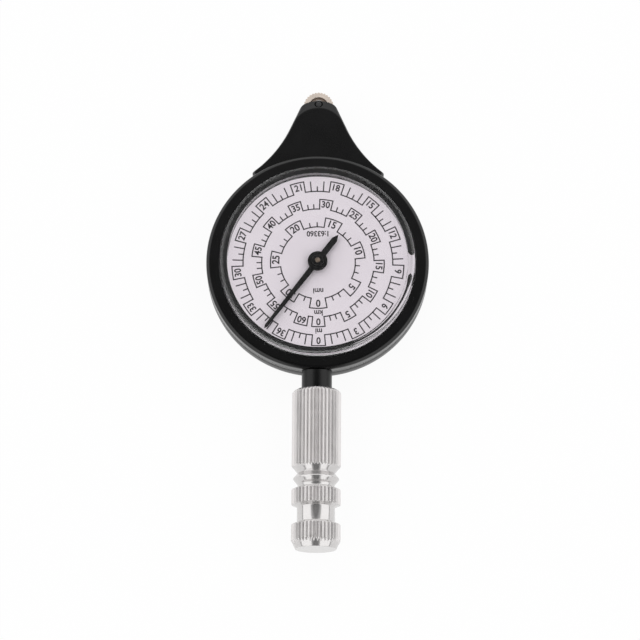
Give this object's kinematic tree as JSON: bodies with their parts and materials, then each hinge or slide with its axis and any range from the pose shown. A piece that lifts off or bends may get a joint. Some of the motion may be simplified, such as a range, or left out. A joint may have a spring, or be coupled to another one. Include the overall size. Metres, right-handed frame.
{
  "type": "map measurer",
  "caption": "Round hand-held map measurer with a toothed tracing wheel in a pointed nose, a geared pointer over a scaled dial under a clear window, and a ridged metal handle.",
  "frame": {"origin": "on the flat back of the case, under the axis of the dial", "axes": "+Z out of the dial towards the reader, +Y from the dial to the tracing wheel, the handle towards -Y"},
  "size_m": [0.043, 0.0915, 0.0096],
  "materials": {
    "case_plastic": "satin moulded black",
    "bezel_plastic": "smooth moulded black",
    "clear_plastic": "polished clear acrylic",
    "dial_card": "matt white with a lilac cast, printed in black",
    "pointer_black": "satin black paint",
    "gear_plastic": "moulded ivory",
    "arbor_brass": "turned",
    "pin_steel": "turned",
    "axle_steel": "blackened",
    "wheel_metal": "dull nickel over brass",
    "handle_metal": "bright turned and ridged"
  },
  "bodies": {
    "case": {"rear_case": "case_plastic", "front_cover": "case_plastic", "cover_screws": "pin_steel", "bezel_ring": "bezel_plastic", "crystal": "clear_plastic", "dial": "dial_card", "centre_bush": "arbor_brass", "rear_bush": "arbor_brass", "spring_washer": "pin_steel", "first_gear_pin": "pin_steel", "second_gear_pin": "pin_steel", "wheel_axle": "axle_steel", "wheel_washers": "pin_steel", "handle": "handle_metal"},
    "pointer_train": {"pointer": "pointer_black", "centre_arbor": "arbor_brass", "centre_gear": "gear_plastic"},
    "second_train": {"second_gear": "gear_plastic"},
    "first_train": {"first_gear": "gear_plastic"},
    "wheel": {"tracing_wheel": "wheel_metal"}
  },
  "joints": [
    {"name": "pointer_spin", "type": "hinge", "parent": "case", "child": "pointer_train", "pos_m": [0, 0, 0.0034], "axis": [0, 0, 1], "continuous": true},
    {"name": "second_gear_spin", "type": "hinge", "parent": "case", "child": "second_train", "pos_m": [0, 0.01559, 0.0027], "axis": [0, 0, 1], "continuous": true},
    {"name": "first_gear_spin", "type": "hinge", "parent": "case", "child": "first_train", "pos_m": [0, 0.02556, 0.0027], "axis": [0, 0, 1], "continuous": true},
    {"name": "wheel_spin", "type": "hinge", "parent": "case", "child": "wheel", "pos_m": [0, 0.03277, 0.0034], "axis": [0, 0, 1], "continuous": true}
  ],
  "couplings": [
    {"joint": "second_gear_spin", "follows": "pointer_spin", "ratio": -7.6},
    {"joint": "first_gear_spin", "follows": "pointer_spin", "ratio": 34.2},
    {"joint": "wheel_spin", "follows": "pointer_spin", "ratio": -54.72}
  ]
}
